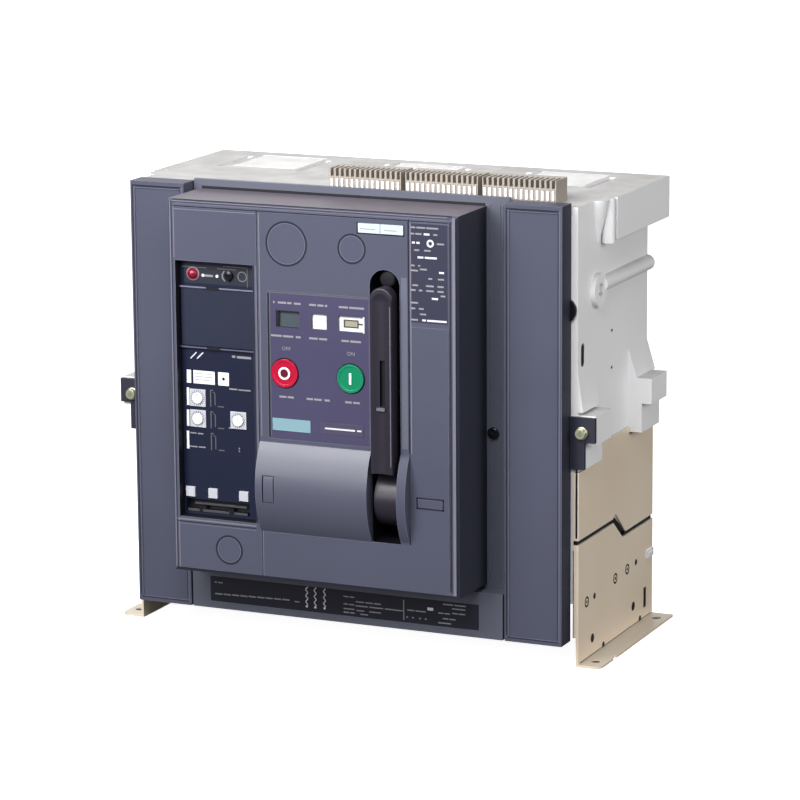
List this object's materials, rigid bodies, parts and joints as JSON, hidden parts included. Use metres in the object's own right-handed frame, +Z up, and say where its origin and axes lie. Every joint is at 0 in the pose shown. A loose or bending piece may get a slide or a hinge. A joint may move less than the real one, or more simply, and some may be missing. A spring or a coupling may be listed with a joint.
{
  "type": "air circuit breaker",
  "caption": "Fixed air circuit breaker: moulded housing on side plates with feet, stepped operator panel with charging handle, push buttons and trip unit, and rear busbar terminals.",
  "frame": {"origin": "centre of the four foot holes, on the plane that the feet stand on", "axes": "+X to the right as seen from the front, +Y from the operator panel to the terminals, +Z up"},
  "size_m": [0.504, 0.303, 0.456],
  "materials": {
    "passivated_steel": "yellow passivated, faint drawing lines",
    "grey_moulding": "fibre-filled moulding, fine grain",
    "steel": "zinc plated",
    "copper": "bare copper",
    "black_plastic": "fine grain",
    "cover_blue": "fine spark-eroded grain",
    "cover_dark": "fine spark-eroded grain",
    "face_blue": "fine grain",
    "trip_navy": "smooth film",
    "white_plastic": "smooth",
    "beige_plastic": "smooth",
    "red_plastic": "smooth",
    "green_plastic": "smooth"
  },
  "bodies": {
    "frame": {"left_foot_bracket": "passivated_steel", "right_foot_bracket": "passivated_steel", "left_side_plate": "passivated_steel", "right_side_plate": "passivated_steel", "front_housing": "grey_moulding", "rear_housing": "grey_moulding", "left_arc_chute": "grey_moulding", "centre_arc_chute": "grey_moulding", "right_arc_chute": "grey_moulding", "splitter_plates": "steel", "upper_terminals": "copper", "lower_terminals": "copper", "current_transformers": "black_plastic", "front_shield": "cover_dark", "left_wing_cover": "cover_blue", "right_wing_cover": "cover_blue", "info_plate": "black_plastic", "operator_panel": "cover_blue", "barrel_cover": "cover_blue", "control_faceplate": "face_blue", "rating_plate": "trip_navy", "label_plates": "white_plastic", "trip_unit_housing": "trip_navy", "trip_unit_blank_cover": "face_blue", "trip_unit_socket": "black_plastic", "rotary_switch_bases": "white_plastic", "aux_terminal_blocks": "beige_plastic", "aux_terminal_pins": "white_plastic", "mechanism_left_plate": "steel", "mechanism_right_plate": "steel", "mechanism_crossbars": "steel", "left_clamp_bracket": "cover_dark", "right_clamp_bracket": "cover_dark", "clamp_bolts": "steel", "shield_knob": "black_plastic", "trip_magnet": "black_plastic", "closing_spring": "steel", "opening_springs": "steel"},
    "off_button": {"off_button": "red_plastic"},
    "on_button": {"on_button": "green_plastic"},
    "opening_latch": {"opening_latch": "steel"},
    "closing_latch": {"closing_latch": "steel"},
    "reset_button": {"reset_button": "red_plastic"},
    "query_key": {"query_key": "white_plastic"},
    "clear_key": {"clear_key": "white_plastic"},
    "test_key": {"test_key": "white_plastic"},
    "rotary_switch_1": {"rotary_switch_1": "white_plastic"},
    "rotary_switch_2": {"rotary_switch_2": "white_plastic"},
    "rotary_switch_3": {"rotary_switch_3": "white_plastic"},
    "charging_handle": {"charging_handle": "cover_dark"},
    "camshaft": {"camshaft": "steel"},
    "spring_yoke": {"spring_yoke": "steel"},
    "main_shaft": {"main_shaft": "steel"},
    "left_moving_contact": {"left_moving_contact": "copper"},
    "centre_moving_contact": {"centre_moving_contact": "copper"},
    "right_moving_contact": {"right_moving_contact": "copper"},
    "position_flag": {"position_flag": "black_plastic"},
    "ready_flag": {"ready_flag": "white_plastic"},
    "charge_flag": {"charge_flag": "white_plastic"},
    "trip_plunger": {"trip_plunger": "steel"}
  },
  "joints": [
    {"name": "off_button_slide", "type": "slide", "parent": "frame", "child": "off_button", "axis": [0, 1, 0], "range_m": [0, 0.004], "stiffness_N_per_m": 300},
    {"name": "on_button_slide", "type": "slide", "parent": "frame", "child": "on_button", "axis": [0, 1, 0], "range_m": [0, 0.004], "stiffness_N_per_m": 300},
    {"name": "opening_latch_turn", "type": "hinge", "parent": "frame", "child": "opening_latch", "pos_m": [0, -0.118, 0.288], "axis": [1, 0, 0], "range_deg": [0, 17]},
    {"name": "closing_latch_turn", "type": "hinge", "parent": "frame", "child": "closing_latch", "pos_m": [0, -0.118, 0.26], "axis": [-1, 0, 0], "range_deg": [0, 17]},
    {"name": "reset_button_slide", "type": "slide", "parent": "frame", "child": "reset_button", "axis": [0, 1, 0], "range_m": [0, 0.002], "stiffness_N_per_m": 150},
    {"name": "query_key_slide", "type": "slide", "parent": "frame", "child": "query_key", "axis": [0, 1, 0], "range_m": [0, 0.0015], "stiffness_N_per_m": 150},
    {"name": "clear_key_slide", "type": "slide", "parent": "frame", "child": "clear_key", "axis": [0, 1, 0], "range_m": [0, 0.0015], "stiffness_N_per_m": 150},
    {"name": "test_key_slide", "type": "slide", "parent": "frame", "child": "test_key", "axis": [0, 1, 0], "range_m": [0, 0.0015], "stiffness_N_per_m": 150},
    {"name": "rotary_switch_1_turn", "type": "hinge", "parent": "frame", "child": "rotary_switch_1", "pos_m": [-0.1315, -0.158, 0.241], "axis": [0, 1, 0], "range_deg": [-135, 135]},
    {"name": "rotary_switch_2_turn", "type": "hinge", "parent": "frame", "child": "rotary_switch_2", "pos_m": [-0.1315, -0.158, 0.221], "axis": [0, 1, 0], "range_deg": [-135, 135]},
    {"name": "rotary_switch_3_turn", "type": "hinge", "parent": "frame", "child": "rotary_switch_3", "pos_m": [-0.089, -0.158, 0.2225], "axis": [0, 1, 0], "range_deg": [-135, 135]},
    {"name": "charging_handle_turn", "type": "hinge", "parent": "frame", "child": "charging_handle", "pos_m": [0.067, -0.147, 0.16], "axis": [1, 0, 0], "range_deg": [0, 100], "stiffness_Nm_per_rad": 0.5, "springref_deg": -17.19},
    {"name": "camshaft_turn", "type": "hinge", "parent": "frame", "child": "camshaft", "pos_m": [0, -0.147, 0.16], "axis": [1, 0, 0], "range_deg": [0, 180]},
    {"name": "spring_yoke_slide", "type": "slide", "parent": "frame", "child": "spring_yoke", "axis": [0, 0, 1], "range_m": [0, 0.025], "deforming": ["closing_spring"]},
    {"name": "charge_flag_slide", "type": "slide", "parent": "frame", "child": "charge_flag", "axis": [0, 0, 1], "range_m": [0, 0.014]},
    {"name": "ready_flag_slide", "type": "slide", "parent": "frame", "child": "ready_flag", "axis": [0, 0, 1], "range_m": [0, 0.014]},
    {"name": "main_shaft_turn", "type": "hinge", "parent": "frame", "child": "main_shaft", "pos_m": [0, -0.018, 0.205], "axis": [-1, 0, 0], "range_deg": [0, 53]},
    {"name": "left_contact_turn", "type": "hinge", "parent": "frame", "child": "left_moving_contact", "pos_m": [-0.15, 0.024, 0.15], "axis": [-1, 0, 0], "range_deg": [0, 15]},
    {"name": "centre_contact_turn", "type": "hinge", "parent": "frame", "child": "centre_moving_contact", "pos_m": [0, 0.024, 0.15], "axis": [-1, 0, 0], "range_deg": [0, 15]},
    {"name": "right_contact_turn", "type": "hinge", "parent": "frame", "child": "right_moving_contact", "pos_m": [0.15, 0.024, 0.15], "axis": [-1, 0, 0], "range_deg": [0, 15]},
    {"name": "position_flag_slide", "type": "slide", "parent": "frame", "child": "position_flag", "axis": [0, 0, 1], "range_m": [0, 0.014]},
    {"name": "trip_plunger_slide", "type": "slide", "parent": "frame", "child": "trip_plunger", "axis": [0, 0, -1], "range_m": [0, 0.004], "stiffness_N_per_m": 60, "springref_m": -0.003}
  ],
  "couplings": [
    {"joint": "opening_latch_turn", "follows": "off_button_slide", "rad_per_m": 71.4},
    {"joint": "closing_latch_turn", "follows": "on_button_slide", "rad_per_m": 71.4},
    {"joint": "spring_yoke_slide", "follows": "camshaft_turn", "m_per_rad": 0.007958},
    {"joint": "charge_flag_slide", "follows": "camshaft_turn", "m_per_rad": 0.004456},
    {"joint": "ready_flag_slide", "follows": "camshaft_turn", "m_per_rad": 0.004456},
    {"joint": "position_flag_slide", "follows": "main_shaft_turn", "m_per_rad": 0.01513},
    {"joint": "left_contact_turn", "follows": "main_shaft_turn", "ratio": 0.283},
    {"joint": "centre_contact_turn", "follows": "main_shaft_turn", "ratio": 0.283},
    {"joint": "right_contact_turn", "follows": "main_shaft_turn", "ratio": 0.283}
  ]
}
